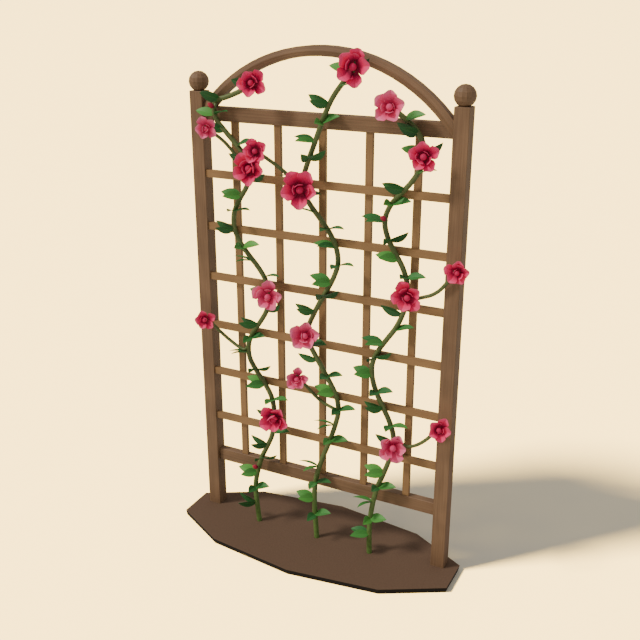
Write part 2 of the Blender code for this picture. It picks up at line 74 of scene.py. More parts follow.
# The radius of the arch's upper face, for the grain that runs round it
ARCH_RADIUS = 0.571

# Canes: routes as (along the trellis, height) of the middle of the cane, foot first. The packed
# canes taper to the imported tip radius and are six-sided. The shown ones hardly taper.
CANE_FOOT_RADIUS = 0.0095
PACKED_TIP_RADIUS = 0.0060
SHOWN_TIP_RADIUS = 0.0086
PACKED_SIDES = 6
SHOWN_SIDES = 12
CANE_STEP = 0.055
CANE_FINE_STEP = 0.012
CANE_HOLE_DEPTH = 0.014
CANE_FOOT_DEPTH = -0.055
CANE_LEAN_HEIGHT = 0.36
LEFT_CANE = [
    (-0.246, 0.0), (-0.262, 0.115), (-0.261, 0.185), (-0.236, 0.284), (-0.200, 0.358),
    (-0.185, 0.450), (-0.192, 0.525), (-0.232, 0.596), (-0.272, 0.647), (-0.288, 0.698),
    (-0.278, 0.755), (-0.242, 0.811), (-0.208, 0.868), (-0.199, 0.930), (-0.216, 0.998),
    (-0.276, 1.068), (-0.316, 1.120), (-0.333, 1.172), (-0.325, 1.226), (-0.288, 1.291),
    (-0.262, 1.336), (-0.262, 1.385), (-0.300, 1.437), (-0.362, 1.500), (-0.396, 1.545),
    (-0.392, 1.585), (-0.350, 1.603), (-0.300, 1.622), (-0.240, 1.655)]
MIDDLE_CANE = [
    (0.004, 0.0), (-0.010, 0.154), (-0.008, 0.238), (0.012, 0.318), (0.040, 0.394), (0.067, 0.478),
    (0.079, 0.542), (0.067, 0.600), (0.026, 0.670), (-0.018, 0.742), (-0.045, 0.805),
    (-0.027, 0.868), (0.009, 0.943), (0.045, 1.006), (0.070, 1.068), (0.071, 1.115),
    (0.052, 1.168), (0.013, 1.220), (-0.032, 1.273), (-0.062, 1.325), (-0.042, 1.405),
    (-0.010, 1.488), (0.016, 1.555), (0.044, 1.615), (0.080, 1.665), (0.120, 1.712)]
RIGHT_CANE = [
    (0.221, 0.0), (0.217, 0.094), (0.221, 0.177), (0.236, 0.262), (0.263, 0.342), (0.292, 0.440),
    (0.285, 0.512), (0.250, 0.587), (0.219, 0.650), (0.204, 0.712), (0.213, 0.770), (0.252, 0.836),
    (0.297, 0.908), (0.324, 1.000), (0.314, 1.078), (0.279, 1.142), (0.251, 1.190), (0.238, 1.237),
    (0.244, 1.278), (0.271, 1.322), (0.322, 1.378), (0.362, 1.460), (0.344, 1.528), (0.296, 1.574),
    (0.250, 1.604)]
ROUTES = {"left": LEFT_CANE, "middle": MIDDLE_CANE, "right": RIGHT_CANE}

# Leaf pairs stand at even joints along each cane. A cane has one word for the pairs to its
# left and one for those to its right, with a letter for each joint from the foot up:
# b turns the upper faces well to the front, m half, t leaves them about level and d turns
# them down. A capital is a single leaflet, where a bloom stands in front of the joint.
LEAF_PACE = 0.0655
LEAVES = {"left": ("d.b.d.D.b.t.d.B.t.d.b.D.DBd.D", ".m.d.M.t.d.m.D.T.b.t.D.M.T"),
          "middle": (".b.t..t.b.D..d.b.m.T.t.m.d.B", "m.t..m.m.m.M..d.t.t.M.d.b.TD"),
          "right": ("m.t.b.D.d.b.m.D..b.m.d.Bd.D", ".b.m.D.t.m.d.M..m.d.b.TD.B")}
FIRST_JOINT = {"left": 0.0786, "middle": 0.0983, "right": 0.0786}
LEAF_THICKNESS = 0.0008
LEAF_ROOT_SHIFT = 0.003
LEAF_REAR = -0.0217
LEAF_FOLD = 0.28
LEAF_DROOP = 0.13
LEAF_LENGTH_CELLS = 8
LEAF_WIDTH_CELLS = 4
LEAF_OVAL = 0.85
LEAF_CREASE = 24

# The leaflets of a pair as (level direction, rise, size), the roll for each letter, and how
# far a leaflet may stray from them
PAIR_TO_LEFT = ((-165, 15, 1.0), (-126, 11, 0.96))
PAIR_TO_RIGHT = ((-14, 22, 1.0), (-82, 15, 0.90))
LEFT_ROLL = {"b": 52, "m": 24, "t": -18, "d": 112}
RIGHT_ROLL = {"b": 42, "m": 24, "t": 4, "d": 146}
TURN_STRAY = 5
RISE_STRAY = 6
LEAF_SIZES = (0.93, 1.07)
# The tone for each letter is painted shade and light: d, turned down, is painted dark and b,
# turned to the front, is painted bright; the stray adds tone at random
LEAF_SHADE_BY_ROLL = {"b": 0.85, "m": 0.55, "t": 0.6, "d": 0.2}
TONE_STRAY = (-0.25, 0.2)
OPEN_SIDE = Vector((0.4, -0.9, 0.0))

# Blooms: (cane, along, height, radius, kind), the middle of the bloom's face. The seat on the
# stalk lies behind it, as a share of the radius. Number 5 stands further forward. A shoot's
# line gives the places between its cane and its bloom, by the bloom's number.
BLOOM_FACE_DEPTH = -0.082
BLOOM_TURN = 20
BLOOM_LIFT = 8
BLOOM_TURN_STRAY = (-7, 7)
BLOOM_LIFT_STRAY = (-6, 8)
SEAT_DEPTH = 0.62
BLOOMS = [
    ("left", -0.217, 1.661, 0.042, "deep"), ("middle", 0.142, 1.724, 0.051, "deep"),
    ("right", 0.265, 1.613, 0.046, "light"), ("left", -0.398, 1.503, 0.035, "light"),
    ("middle", -0.194, 1.448, 0.039, "deep"), ("left", -0.234, 1.383, 0.052, "deep"),
    ("middle", -0.043, 1.331, 0.054, "deep"), ("right", 0.379, 1.473, 0.045, "deep"),
    ("right", 0.503, 1.126, 0.036, "red"), ("left", -0.172, 0.942, 0.047, "light"),
    ("right", 0.342, 1.019, 0.046, "red"), ("left", -0.440, 0.811, 0.033, "red"),
    ("middle", -0.028, 0.822, 0.048, "light"), ("middle", -0.061, 0.652, 0.038, "light"),
    ("left", -0.158, 0.472, 0.050, "deep"), ("right", 0.472, 0.576, 0.037, "red"),
    ("right", 0.311, 0.469, 0.048, "light")]
BLOOM_FORWARD = {5: 0.024}
BLOOM_SHOWN_SIZE = 1.05
SHOOTS = {
    4: [(-0.300, 1.405), (-0.350, 1.452)],
    5: [(-0.060, 1.318), (-0.120, 1.372)],
    9: [(0.372, 1.010), (0.430, 1.040)],
    12: [(-0.302, 0.704), (-0.370, 0.735)],
    14: [(0.055, 0.548), (0.000, 0.572)],
    16: [(0.345, 0.462), (0.405, 0.496)]}
SHOOT_STAND_OFF = 0.008
SHOOT_STEP = 0.032
STALK_STEP = 0.020
STALK_STRAIGHT = 0.014
STALK_LAST_STEP = 0.006
STALK_FINE_STEP = 0.008
STALK_SIDES = 8
STALK_RADIUS = 0.0062
STALK_END_RADIUS = 0.0045
STALK_THINNING = 0.0004

# Buds: (cane, along, height), and a bud's rows from the foot as (share of the radius, share of
# the length). Its green cup is a share of its length.
BUD_LENGTH = 0.026
BUD_RADIUS = 0.0085
BUD_AXIS = Vector((-0.35, -0.75, 0.56)).normalized()
BUD_STAND_OFF = 0.022
BUDS = [("left", -0.385, 1.572), ("right", 0.248, 1.257), ("left", -0.247, 0.236)]
BUD_SIDES = 16
BUD_ROWS = [(0.54, 0.0), (0.78, 0.10), (0.96, 0.26), (1.0, 0.42), (0.90, 0.58), (0.68, 0.74),
            (0.42, 0.88), (0.20, 0.97)]
BUD_TWIST = 7
BUD_CUP = 0.2
BUD_TONE = 0.2
BUD_TONE_GAIN = 0.7
BUD_GREEN = 0.5

# Seeds of the random draws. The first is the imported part's own.
ROUTE_SEED = 11
TONE_SEED = 29
PETAL_SEED = 17

# The parts of a bloom of radius one. A petal is given as rows of (distance out, height, half
# width, lift of the row's ends, pull of the ends towards the axis). A ring of petals is given
# as (count, turn as a share of one petal's place, stray of each petal in radians). Creases are
# the angles from which an edge is shaded sharp.
OUTER_PETAL = [(0.08, 0.26, 0.10, 0.00, 0.00), (0.34, 0.31, 0.30, 0.10, 0.00),
               (0.62, 0.42, 0.45, 0.25, 0.06), (0.88, 0.60, 0.46, 0.29, 0.10),
               (1.10, 0.68, 0.14, 0.05, 0.03)]
INNER_PETAL = [(0.08, 0.34, 0.06, 0.00, 0.00), (0.34, 0.42, 0.19, 0.06, 0.01),
               (0.52, 0.58, 0.30, 0.13, 0.03), (0.61, 0.78, 0.30, 0.12, 0.06),
               (0.64, 0.96, 0.10, 0.02, 0.02)]
OUTER_RING = (5, 0.0, 0.13)
INNER_RING = (4, 0.5, 0.42)
PETAL_LEAN = (-9, 6)
PETAL_LEAN_GAIN = 4
PETAL_LARGEST = 1.05
PETAL_CELLS = 4
PETAL_THICKNESS = 0.024
PETAL_TWIST = 0.22
PETAL_CUP = 1.2
PETAL_CREASE = 6
HEART_OUT = 0.23
HEART_FOOT = 0.20
HEART_MIDDLE = 0.64
HEART_CUT = 0.5
HEART_CREASE = 8
# The heart is painted darker at its foot, deep in the bloom, and lighter on top: partly its own
# colour and partly painted shade
HEART_TONE = 0.34
HEART_TONE_GAIN = 0.12
CALYX_FOOT = 0.10
CALYX_OUT = 0.25
CALYX_HEIGHT = 0.29
SEPALS = 5
SEPAL_REACH = 1.7
CALYX_GREEN = 0.35
ROUND_CREASE = 50
SET_ASIDE = 10

# Looks: the colours of a petal's throat and rim for each kind of bloom, and sizes of patterns.
# Those in MM are real sizes in millimetres.
# Each throat colour is partly the petal's own and partly painted shade in the bloom's middle
PETAL_ENDS = {"deep": ("#8E1840", "#FF5E96"), "light": ("#D03468", "#FF8CB4"),
              "red": ("#A31846", "#FF6094")}
BUD_COLOURS = ("#7A1C34", "#B52C4A", "#D8445F")
GRAIN_MM = 2.6
GRAIN_LENGTH_MM = 160.0
PATCH_MM = 110.0
SOIL_CRUMB_MM = 5.0
SOIL_TOP_SKIN = 0.0008
BARK_MM = 100 / 9
FRESH_BARK_LOW = 0.02
FRESH_BARK_HIGH = 0.34
LEAF_VEINS = 7
VEIN_LAG = 0.7
PETAL_STREAKS = (1.5, 26.0)
TOOTH_MM = 250.0

# Lights: their turn from the front towards +X, their height and their spread. The net shades
# the paper, which throws back much less light than it shows.
KEY_TURN = -50.0
KEY_HEIGHT = 46.0
KEY_SPREAD = 11.0
KEY_COLOUR = "#FFF6E8"
ROOM_COLOUR = "#FFFAF2"
LAMP_PLACE = (-3.0, -3.0, 6.0)
FLOOR_SIZE = 600.0
FLOOR_CELLS = 8
FLOOR_DROP = 0.0005
NET_WIDTH = 0.99
NET_HEIGHT = 1.50
NET_DENSITY = 0.97
PAPER_LIGHT = (1.0, 0.69, 0.215)
PAPER_BOUNCE = (0.09, 0.12, 0.28)

# The photograph's camera, fitted to the posts, rails and soil bed
CAMERA_PLACE = (1.3003, -2.5486, 1.9785)
CAMERA_AZIMUTH = 26.73
CAMERA_DOWN = 20.72
CAMERA_LENS = 50.0
CAMERA_SENSOR = 36.0
CAMERA_REACH = 1000.0


def linear(code):
    """The linear colour of an sRGB hex code."""
    channels = [int(code[at:at + 2], 16) / 255 for at in (1, 3, 5)]
    return tuple(c / 12.92 if c <= 0.04045 else ((c + 0.055) / 1.055) ** 2.4 for c in channels)


def deselect():
    """Leaves edit mode, with nothing selected."""
    if bpy.context.object and bpy.context.object.mode != "OBJECT":
        bpy.ops.object.mode_set(mode="OBJECT")
    bpy.ops.object.select_all(action="DESELECT")


def named(name):
    """The piece that was just made, with its name."""
    piece = bpy.context.object
    piece.name = name
    return piece


def place(along, depth, height):
    """A point given from the posts' middle and the soil's top, in the part's frame."""
    return Vector((along, depth + POST_MIDDLE, height + SOIL_TOP))


def facing(turn, lift):
    """The direction turned from the front towards +X and lifted, both in degrees."""
    turn = math.radians(turn)
    lift = math.radians(lift)
    return Vector((math.sin(turn) * math.cos(lift), -math.cos(turn) * math.cos(lift),
                   math.sin(lift)))


# Materials

def new_material(name, roughness, ior=1.5, sheen=0.0):
    """A material that isn't metal, with the finish of its surface."""
    material = bpy.data.materials.new(name)
    material.use_nodes = True
    shader = material.node_tree.nodes["Principled BSDF"]
    shader.inputs["Roughness"].default_value = roughness
    shader.inputs["Metallic"].default_value = 0.0
    shader.inputs["IOR"].default_value = ior
    shader.inputs["Sheen Weight"].default_value = sheen
    return material


def add_node(material, kind, inputs=None, stops=(), **settings):
    """Adds a node with its settings, sets or links its inputs by name or number, and returns
    its outputs. Stops are those of a colour ramp, as (place, linear colour)."""
    tree = material.node_tree
    node = tree.nodes.new("ShaderNode" + kind)
    for key, value in settings.items():
        setattr(node, key, value)
    for key, value in (inputs or {}).items():
        if isinstance(value, bpy.types.NodeSocket):
            tree.links.new(value, node.inputs[key])
        else:
            node.inputs[key].default_value = value
    if stops:
        marks = node.color_ramp.elements
        while len(marks) < len(stops):
            marks.new(0.5)
        for stop, (position, colour) in zip(marks, stops):
            stop.position = position
            stop.color = (*colour, 1.0)
    return node.outputs


def give_colour(material, colour, height=None, bump_strength=0.0, bump_mm=0.0):
    """Links a colour, and a height pattern as bump, to a material's shader."""
    tree = material.node_tree
    shader = tree.nodes["Principled BSDF"]
    tree.links.new(colour, shader.inputs["Base Color"])
    if height:
        bump = add_node(material, "Bump", {"Height": height, "Strength": bump_strength,
                                           "Distance": bump_mm / 1000})
        tree.links.new(bump["Normal"], shader.inputs["Normal"])


def mottled(material, colour, pattern, low, high):
    """The colour, times a shade that goes from low to high where the pattern does."""
    shade = add_node(material, "ValToRGB", {"Fac": pattern}, stops=[(0.35, low), (0.65, high)])
    return add_node(material, "Mix", {0: 1.0, 6: colour, 7: shade[0]},
                    data_type="RGBA", blend_type="MULTIPLY")[2]


def timber(name, light, dark, direction):
    """Sawn softwood under a wood stain. The eye gets fine darker grain lines along each
    member, wide soft patches where the stain sank in, and a matt surface."""
    material = new_material(name, 0.62, ior=1.48)
    spot = add_node(material, "TexCoord")["Object"]
    if direction == "arc":
        spot = round_the_arch(material, spot)
    across = 1000 / GRAIN_MM
    along = 1000 / GRAIN_LENGTH_MM
    scale = (across, across, along) if direction == "z" else (along, across, across)
    stretched = add_node(material, "Mapping", {"Vector": spot, "Scale": scale})
    grain = add_node(material, "TexNoise", {"Vector": stretched["Vector"],
                                            "Scale": 1.0, "Detail": 3.0, "Roughness": 0.6})
    lines = add_node(material, "ValToRGB", {"Fac": grain["Fac"]},
                     stops=[(0.30, dark), (0.62, light)])
    patch = add_node(material, "TexNoise", {"Vector": spot, "Scale": 1000 / PATCH_MM,
                                            "Detail": 1.0})
    colour = mottled(material, lines[0], patch["Fac"], (0.86, 0.86, 0.86), (1.08, 1.08, 1.08))
    give_colour(material, colour, grain["Fac"], 0.25, 0.3)
    return material


def round_the_arch(material, spot):
    """Turns a place on the arch into (distance round it, depth, distance from its centre)."""
    parts = add_node(material, "SeparateXYZ", {0: spot})
    rise = add_node(material, "Math", {0: parts["Z"], 1: ARCH_TOP - ARCH_RADIUS},
                    operation="SUBTRACT")
    turn = add_node(material, "Math", {0: parts["X"], 1: rise[0]}, operation="ARCTAN2")
    distance = add_node(material, "Math", {0: turn[0], 1: ARCH_RADIUS}, operation="MULTIPLY")
    level = add_node(material, "CombineXYZ", {"X": parts["X"], "Z": rise[0]})
    out = add_node(material, "VectorMath", {0: level[0]}, operation="LENGTH")
    return add_node(material, "CombineXYZ", {"X": distance[0], "Y": parts["Y"],
                                             "Z": out["Value"]})[0]


def loam(top, crumb_dark, side):
    """Raked and pressed garden soil. The eye gets an even brown top with faint crumbs. Its cut
    side is painted nearly black: painted shade under the bed's edge."""
    material = new_material("raked garden loam", 0.92, ior=1.4)
    spot = add_node(material, "TexCoord")["Object"]
    crumbs = add_node(material, "TexNoise", {"Vector": spot, "Scale": 1000 / SOIL_CRUMB_MM,
                                             "Detail": 4.0, "Roughness": 0.65})
    grains = add_node(material, "ValToRGB", {"Fac": crumbs["Fac"]},
                      stops=[(0.30, crumb_dark), (0.60, top)])
    height = add_node(material, "SeparateXYZ", {0: spot})["Z"]
    on_top = add_node(material, "Math", {0: height, 1: SOIL_TOP - SOIL_TOP_SKIN},
                      operation="GREATER_THAN")
    # The side faces take the side colour, a painted shade, not a colour of the soil itself
    colour = add_node(material, "Mix", {0: on_top[0], 6: (*side, 1.0),
                                        7: grains[0]}, data_type="RGBA")
    give_colour(material, colour[2], crumbs["Fac"], 0.35, 0.8)
    return material


def green_bark(foot, upper):
    """Living rose bark, a waxy green skin. The eye gets a low sheen, bright green near the
    soil and olive above, with faint lengthwise mottling."""
    material = new_material("green rose bark", 0.48, ior=1.45)
    spot = add_node(material, "TexCoord")["Object"]
    height = add_node(material, "SeparateXYZ", {0: spot})["Z"]
    base = add_node(material, "ValToRGB", {"Fac": height},
                    stops=[(SOIL_TOP + FRESH_BARK_LOW, foot), (FRESH_BARK_HIGH, upper)])
    mottle = add_node(material, "TexNoise", {"Vector": spot, "Scale": 1000 / BARK_MM,
                                             "Detail": 2.0})
    colour = mottled(material, base[0], mottle["Fac"], (0.88, 0.88, 0.85), (1.10, 1.10, 1.08))
    give_colour(material, colour, mottle["Fac"], 0.2, 0.3)
    return material


def leaf_skin(rose):
    """Rose leaf, thin and waxy. The eye gets blades from dark to bright green, with a paler rib
    and fine side veins that run forward. The green is painted shade on blades turned down and
    painted light on blades turned to the front, with a random stray."""
    material = new_material("rose leaf", 0.5, ior=1.42)
    tone = add_node(material, "Attribute", attribute_name="tone")["Fac"]
    green = add_node(material, "ValToRGB", {"Fac": tone},
                     stops=[(0.0, rose.leaf_dark), (0.5, rose.leaf_middle),
                            (1.0, rose.leaf_bright)])[0]
    flat = add_node(material, "UVMap", uv_map="UVMap")["UV"]
    parts = add_node(material, "SeparateXYZ", {0: flat})
    across = add_node(material, "Math", {0: parts["Y"], 1: 0.5}, operation="SUBTRACT")
    side = add_node(material, "Math", {0: across[0]}, operation="ABSOLUTE")
    lag = add_node(material, "Math", {0: side[0], 1: VEIN_LAG}, operation="MULTIPLY")
    ahead = add_node(material, "Math", {0: parts["X"], 1: lag[0]}, operation="SUBTRACT")
    waves = add_node(material, "Math", {0: ahead[0], 1: LEAF_VEINS * math.tau},
                     operation="MULTIPLY")
    wave = add_node(material, "Math", {0: waves[0]}, operation="COSINE")
    vein = add_node(material, "ValToRGB", {"Fac": wave[0]},
                    stops=[(0.72, (0.0, 0.0, 0.0)), (1.0, (0.22, 0.22, 0.22))])
    rib = add_node(material, "ValToRGB", {"Fac": side[0]},
                   stops=[(0.02, (0.45, 0.45, 0.45)), (0.07, (0.0, 0.0, 0.0))])
    lines = add_node(material, "Mix", {0: 1.0, 6: vein[0], 7: rib[0]},
                     data_type="RGBA", blend_type="LIGHTEN")[2]
    pale = add_node(material, "Mix", {0: 0.4, 6: green, 7: (*rose.leaf_bright, 1.0)},
                    data_type="RGBA")[2]
    colour = add_node(material, "Mix", {0: lines, 6: green, 7: pale}, data_type="RGBA")
    give_colour(material, colour[2], lines, 0.3, 0.25)
    return material


def petal_skin(name, base, body, rim):
    """Rose petal, soft and velvety. The eye gets a dark throat, an even body and a lighter
    rim, with fine pale streaks that fan out and a soft sheen. The dark throat is partly the
    petal's own colour and partly painted shade in the middle of the bloom."""
    material = new_material(name, 0.7, ior=1.3, sheen=0.05)
    out = add_node(material, "Attribute", attribute_name="rim")["Fac"]
    ground = add_node(material, "ValToRGB", {"Fac": out},
                      stops=[(0.30, base), (0.60, body), (1.0, rim)])
    flat = add_node(material, "UVMap", uv_map="UVMap")["UV"]
    stretched = add_node(material, "Mapping", {"Vector": flat, "Scale": (*PETAL_STREAKS, 1.0)})
    streak = add_node(material, "TexNoise", {"Vector": stretched["Vector"],
                                             "Scale": 1.0, "Detail": 2.0})
    colour = mottled(material, ground[0], streak["Fac"], (0.93, 0.90, 0.91), (1.05, 1.05, 1.05))
    give_colour(material, colour, streak["Fac"], 0.15, 0.3)
    return material


def paper_sweep(seen, bounced):
    """Matt seamless paper. The eye gets one even warm cream with a barely seen tooth. The
    light that it throws back on the rose is kept low, or the trellis would be lit from below."""
    material = new_material("seamless cream paper", 0.95)
    spot = add_node(material, "TexCoord")["Object"]
    tooth = add_node(material, "TexNoise", {"Vector": spot, "Scale": 1000 / TOOTH_MM,
                                            "Detail": 1.0})
    shade = add_node(material, "ValToRGB", {"Fac": tooth["Fac"]},
                     stops=[(0.3, tuple(0.99 * c for c in seen)), (0.7, seen)])
    path = add_node(material, "LightPath")["Is Camera Ray"]
    colour = add_node(material, "Mix", {0: path, 6: (*bounced, 1.0), 7: shade[0]},
                      data_type="RGBA")
    give_colour(material, colour[2])
    return material


def finish_node(name, material):
    """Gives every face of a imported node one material."""
    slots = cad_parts[name].data.materials
    slots.clear()
    slots.append(material)


# Routes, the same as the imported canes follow

def smooth_route(points, step):
    """Evenly spaced points on a Catmull-Rom curve through given points."""
    fine = []
    padded = [2 * points[0] - points[1]] + points + [2 * points[-1] - points[-2]]
    for index in range(1, len(padded) - 2):
        before, start, end, after = padded[index - 1:index + 3]
        for part in range(8):
            t = part / 8
            fine.append(0.5 * (2 * start + (end - before) * t
                               + (2 * before - 5 * start + 4 * end - after) * t * t
                               + (3 * start - before - 3 * end + after) * t ** 3))
    fine.append(points[-1])
    length = sum((b - a).length for a, b in zip(fine, fine[1:]))
    count = max(2, round(length / step))
    spaced = [fine[0]]
    walked = 0.0
    for a, b in zip(fine, fine[1:]):
        stretch = (b - a).length
        while len(spaced) < count and walked + stretch >= len(spaced) * length / count:
            spaced.append(a.lerp(b, (len(spaced) * length / count - walked) / stretch))
        walked += stretch
    spaced.append(fine[-1])
    return spaced


def taper(height, tip_radius):
    """A cane's radius at a height."""
    share = min(max(height / POST_HEIGHT, 0.0), 1.0)
    return CANE_FOOT_RADIUS + (tip_radius - CANE_FOOT_RADIUS) * share


def cane_depth(height):
    """The cane leaves the soil in front of the lattice and leans back against it."""
    half = taper(height, PACKED_TIP_RADIUS) / math.cos(math.pi / PACKED_SIDES)
    rest = SLAT_FRONT - GAP - half
    share = min(max(height / CANE_LEAN_HEIGHT, 0.0), 1.0)
    ease = share * share * (3 - 2 * share)
    return CANE_FOOT_DEPTH + (rest - CANE_FOOT_DEPTH) * ease


def cane_route(points):
    """The middle line of a cane, from inside its hole in the soil to its tip."""
    route = [place(x, cane_depth(z), z) for x, z in points]
    foot = place(points[0][0], CANE_FOOT_DEPTH, -CANE_HOLE_DEPTH + GAP * 2)
    return [foot] + smooth_route(route, CANE_STEP)


def plan_roses():
    """Draws every bloom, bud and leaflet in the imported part's order, from its seed."""
    chance = random.Random(ROUTE_SEED)
    routes = {side: cane_route(points) for side, points in ROUTES.items()}
    plan = {"routes": routes, "blooms": [], "buds": [], "stalks": [], "leaves": []}
    for number, (side, x, z, radius, kind) in enumerate(BLOOMS, start=1):
        axis = facing(BLOOM_TURN + chance.uniform(*BLOOM_TURN_STRAY),
                      BLOOM_LIFT + chance.uniform(*BLOOM_LIFT_STRAY))
        depth = BLOOM_FACE_DEPTH - BLOOM_FORWARD.get(number, 0.0)
        seat = place(x, depth, z) - axis * radius * SEAT_DEPTH
        between = [place(along, cane_depth(height) - SHOOT_STAND_OFF, height)
                   for along, height in SHOOTS.get(number, [])]
        plan["stalks"].append((side, stalk_line(routes[side], seat, axis, between)))
        plan["blooms"].append((number, seat, axis, radius, kind, chance.uniform(0, math.tau)))
    for number, (side, x, z) in enumerate(BUDS, start=1):
        seat = place(x, cane_depth(z) - BUD_STAND_OFF, z)
        plan["stalks"].append((side, stalk_line(routes[side], seat, BUD_AXIS, [])))
        plan["buds"].append((number, seat))
    for side, route in routes.items():
        plan["leaves"] += [(side, *leaf) for leaf in plan_leaves(route, side, chance)]
    return plan


def stalk_line(route, target, axis, between):
    """The line of a thin shoot from the nearest point of a cane to a bloom's or bud's foot."""
    goal = between[0] if between else target
    start = min(route[1:], key=lambda point: (point - goal).length)
    line = smooth_route([start] + between + [target - axis * STALK_STRAIGHT, target],
                        SHOOT_STEP if between else STALK_STEP)
    line[-1] = target
    line[-2] = target - axis * STALK_LAST_STEP
    return line


def plan_leaves(route, cane, chance):
    """The root, heading, upper side, length share, width share and letter of each leaflet."""
    tenths = smooth_route(route[1:], LEAF_PACE / 10)
    joints = tenths[round(FIRST_JOINT[cane] / LEAF_PACE * 10)::10]
    found = []
    for word, pair, rolls in zip(LEAVES[cane], (PAIR_TO_LEFT, PAIR_TO_RIGHT),
                                 (LEFT_ROLL, RIGHT_ROLL)):
        for letter, here in zip(word, joints):
            if letter == ".":
                continue
            for way, rise, share in pair[:1] if letter.isupper() else pair:
                way = math.radians(way + chance.uniform(-TURN_STRAY, TURN_STRAY))
                rise = math.radians(rise + chance.uniform(-RISE_STRAY, RISE_STRAY))
                roll = math.radians(rolls[letter.lower()]
                                    + chance.uniform(-TURN_STRAY, TURN_STRAY))
                level = Vector((math.cos(way), math.sin(way), 0))
                heading = level * math.cos(rise) + Vector((0, 0, math.sin(rise)))
                up = Vector((0, 0, math.cos(rise))) - level * math.sin(rise)
                front = heading.cross(up)
                if front.dot(OPEN_SIDE) < 0:
                    front = -front
                upper = up * math.cos(roll) + front * math.sin(roll)
                stretch = share * chance.uniform(*LEAF_SIZES)
                root = here + Vector((0, -LEAF_ROOT_SHIFT, 0))
                found.append((root, heading, upper, stretch, share, letter.lower()))
    return found


# Modelling by hand

def pick(test):
    """In edit mode, selects the vertices whose place passes a test, and nothing else."""
    shape = bmesh.from_edit_mesh(bpy.context.object.data)
    shape.select_mode = {"VERT"}
    for vertex in shape.verts:
        vertex.select_set(test(vertex.co))
    shape.select_flush_mode()
    bmesh.update_edit_mesh(bpy.context.object.data)


def near(value, target):
    """Whether two lengths are the same, apart from rounding."""
    return abs(value - target) < 1e-5


def start_grid(name, cells_along, cells_across, length, width):
    """A flat sheet with its root at the origin, in edit mode. X runs to its tip."""
    deselect()
    bpy.ops.mesh.primitive_grid_add(x_subdivisions=cells_along, y_subdivisions=cells_across,
                                    size=1.0)
    sheet = named(name)
    sheet.scale = (length, width, 1.0)
    sheet.location = (length / 2, 0.0, 0.0)
    bpy.ops.object.transform_apply()
    bpy.ops.object.mode_set(mode="EDIT")
    return sheet


def finish_sheet(sheet, thickness, smooth_angle):
    """Closes the sheet's ends, gives it a thickness and shades it."""
    bpy.ops.mesh.select_all(action="SELECT")
    bpy.ops.mesh.remove_doubles(threshold=1e-5)
    bpy.ops.object.mode_set(mode="OBJECT")
    wall = sheet.modifiers.new("Blade", "SOLIDIFY")
    wall.thickness = thickness
    wall.offset = 0.0
    bpy.ops.object.modifier_apply(modifier=wall.name)
    bpy.ops.object.shade_smooth_by_angle(angle=math.radians(smooth_angle))
    return sheet


def finish_shell(smooth_angle):
    """Turns a closed shape's faces outwards, leaves edit mode and shades it."""
    bpy.ops.mesh.select_all(action="SELECT")
    bpy.ops.mesh.normals_make_consistent(inside=False)
    bpy.ops.object.mode_set(mode="OBJECT")
    bpy.ops.object.shade_smooth_by_angle(angle=math.radians(smooth_angle))


def model_leaflet(length, width):
    """A pointed oval leaflet, folded at its rib and drooping a little to its tip."""
    leaf = start_grid("leaflet", LEAF_LENGTH_CELLS, LEAF_WIDTH_CELLS, length, width)
    for column in range(LEAF_WIDTH_CELLS + 1):
        across = (column / LEAF_WIDTH_CELLS - 0.5) * width
        pick(lambda spot: near(spot.y, across))
        bpy.ops.transform.translate(value=(0.0, 0.0, abs(across) * LEAF_FOLD))
    for row in range(LEAF_LENGTH_CELLS + 1):
        along = row / LEAF_LENGTH_CELLS
        pick(lambda spot: near(spot.x, along * length))
        half_width = 0.0
        if 0 < row < LEAF_LENGTH_CELLS:
            half_width = math.sin(math.pi * along ** LEAF_OVAL) ** LEAF_OVAL
        middle = (along * length, 0.0, 0.0)
        bpy.ops.transform.resize(value=(1.0, half_width, half_width), center_override=middle)
        bpy.ops.transform.translate(value=(0.0, 0.0, -LEAF_DROOP * length * along ** 3))
    return finish_sheet(leaf, LEAF_THICKNESS, LEAF_CREASE)


def model_petal(name, rows):
    """A petal for a bloom of radius one, its root near the origin and its rim rounded. Points
    that are done are set well aside, so that no later pick takes them again."""
    petal = start_grid(name, PETAL_CELLS, PETAL_CELLS, 1.0, 2.0)
    mark(petal.data, "rim", lambda spot: spot.x)
    for index, (out, height, half_width, lift, pull) in enumerate(rows):
        for column in range(PETAL_CELLS + 1):
            across = column / PETAL_CELLS * 2 - 1
            pick(lambda spot: near(spot.x, index / PETAL_CELLS) and near(spot.y, across)
                 and near(spot.z, 0.0))
            bend = abs(across) ** PETAL_CUP
            bpy.ops.transform.translate(value=(
                out - pull * bend - index / PETAL_CELLS + SET_ASIDE,
                across * half_width - across,
                height + lift * bend + PETAL_TWIST * half_width * across))
    bpy.ops.mesh.select_all(action="SELECT")
    bpy.ops.transform.translate(value=(-SET_ASIDE, 0.0, 0.0))
    return finish_sheet(petal, PETAL_THICKNESS, PETAL_CREASE)


def mark(mesh, name, value_at):
    """Stores a number at each vertex for a material to read."""
    mode = bpy.context.object.mode
    bpy.ops.object.mode_set(mode="OBJECT")
    layer = mesh.attributes.new(name, "FLOAT", "POINT")
    for vertex, slot in zip(mesh.vertices, layer.data):
        slot.value = value_at(vertex.co)
    bpy.ops.object.mode_set(mode=mode)


def copy_of(item, matrix):
    """A copy of a modelled shape with its own mesh, its place in the mesh."""
    twin = bpy.data.objects.new(item.name + " copy", item.data.copy())
    bpy.context.scene.collection.objects.link(twin)
    twin.data.transform(matrix)
    return twin


def join(name, pieces):
    """Joins pieces into one named object."""
    deselect()
    for piece in pieces:
        piece.select_set(True)
    bpy.context.view_layer.objects.active = pieces[0]
    bpy.ops.object.join()
    return named(name)


